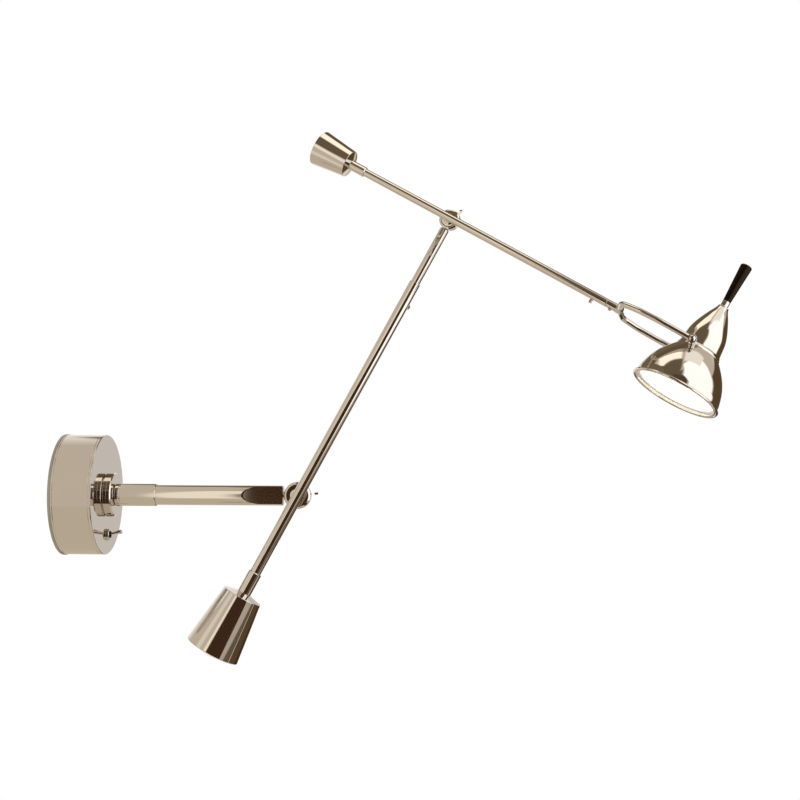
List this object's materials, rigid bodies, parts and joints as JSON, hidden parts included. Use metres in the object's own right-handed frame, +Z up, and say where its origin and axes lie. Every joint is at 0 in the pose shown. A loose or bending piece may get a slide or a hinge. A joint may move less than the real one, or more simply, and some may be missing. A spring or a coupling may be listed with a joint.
{
  "type": "articulating wall lamp",
  "caption": "Swivelling wall lamp on a round canopy, with a bracket bar, counterweighted jointed arms and a small domed tilting shade in a fork.",
  "frame": {"origin": "centre of the wall plate's back face, on the wall", "axes": "+X away from the wall along the bracket bar, +Z up, +Y to the side of the wing nuts"},
  "size_m": [0.6727, 0.1756, 0.5293],
  "materials": {
    "polished_nickel": "polished",
    "steel": "satin",
    "brass": "satin",
    "switch_plastic": "matte",
    "driver_case": "matte",
    "terminal_plastic": "matte",
    "fibre_washer": "matte",
    "black_handle": "gloss",
    "white_enamel": "gloss",
    "holder_plastic": "matte",
    "bulb_glass": "gloss"
  },
  "bodies": {
    "wall_base": {"wall_plate": "steel", "canopy": "polished_nickel", "canopy_screws": "steel", "hub_disc": "polished_nickel", "hub_nipple": "brass", "hub_washer": "steel", "hub_locknut": "steel", "switch_body": "switch_plastic", "switch_nut": "polished_nickel", "driver": "driver_case", "driver_screws": "steel", "terminal_block": "terminal_plastic", "earth_screw": "brass"},
    "switch_lever": {"switch_lever": "polished_nickel"},
    "bracket_arm": {"bracket_collar": "polished_nickel", "swivel_screw": "steel", "bracket_bar": "polished_nickel", "lower_hinge_disc": "polished_nickel"},
    "lower_wing_nut": {"lower_wing_nut": "polished_nickel"},
    "lower_arm": {"lower_pivot_stud": "polished_nickel", "lower_washers": "fibre_washer", "lower_tube": "polished_nickel", "lower_counterweight": "polished_nickel", "lower_ferrule": "polished_nickel", "lower_core_rod": "steel", "stem_screw": "polished_nickel"},
    "stem": {"stem_rod": "polished_nickel", "upper_hinge_disc": "polished_nickel"},
    "upper_wing_nut": {"upper_wing_nut": "polished_nickel"},
    "upper_arm": {"upper_pivot_stud": "polished_nickel", "upper_washers": "fibre_washer", "upper_tube": "polished_nickel", "upper_counterweight": "polished_nickel", "upper_ferrule": "polished_nickel", "upper_core_rod": "steel", "fork_screw": "polished_nickel"},
    "fork": {"fork_spindle": "steel", "fork_sleeve": "polished_nickel", "sleeve_screw": "polished_nickel", "fork_yoke": "polished_nickel"},
    "head": {"shade": "polished_nickel", "shade_bead": "polished_nickel", "pivot_collar": "polished_nickel", "tilt_screws": "polished_nickel", "tilt_washers": "fibre_washer", "socket_housing": "polished_nickel", "handle_neck": "polished_nickel", "handle": "black_handle", "inner_reflector": "white_enamel", "lamp_holder": "holder_plastic", "bulb": "bulb_glass"}
  },
  "joints": [
    {"name": "switch_toggle", "type": "hinge", "parent": "wall_base", "child": "switch_lever", "pos_m": [0.043, 0, -0.04], "axis": [0, 1, 0], "range_deg": [0, 24]},
    {"name": "bracket_swivel", "type": "hinge", "parent": "wall_base", "child": "bracket_arm", "pos_m": [0.0518, 0, 0], "axis": [1, 0, 0], "range_deg": [-90, 90]},
    {"name": "lower_elbow", "type": "hinge", "parent": "bracket_arm", "child": "lower_arm", "pos_m": [0.2355, 0, 0], "axis": [0, -0.9971, 0.0767], "range_deg": [-34, 30]},
    {"name": "lower_wing_spin", "type": "hinge", "parent": "bracket_arm", "child": "lower_wing_nut", "pos_m": [0.2355, 0.00548, -0.00042], "axis": [0, 0.9971, -0.0767], "continuous": true},
    {"name": "stem_swivel", "type": "hinge", "parent": "lower_arm", "child": "stem", "pos_m": [0.35242, 0.00156, 0.21056], "axis": [0.4787, 0.0674, 0.8754], "range_deg": [-80, 100]},
    {"name": "upper_elbow", "type": "hinge", "parent": "stem", "child": "upper_arm", "pos_m": [0.38655, 0.00636, 0.27298], "axis": [0.1525, 0.9755, -0.1584], "range_deg": [-50, 45]},
    {"name": "upper_wing_spin", "type": "hinge", "parent": "stem", "child": "upper_wing_nut", "pos_m": [0.38728, 0.011, 0.27223], "axis": [0.1525, 0.9755, -0.1584], "continuous": true},
    {"name": "fork_swivel", "type": "hinge", "parent": "upper_arm", "child": "fork", "pos_m": [0.53787, -0.04275, 0.18718], "axis": [0.8483, -0.2114, -0.4855], "range_deg": [-90, 90]},
    {"name": "head_tilt", "type": "hinge", "parent": "fork", "child": "head", "pos_m": [0.61515, -0.06201, 0.14295], "axis": [0.0841, 0.959, -0.2708], "range_deg": [-60, 35]}
  ]
}
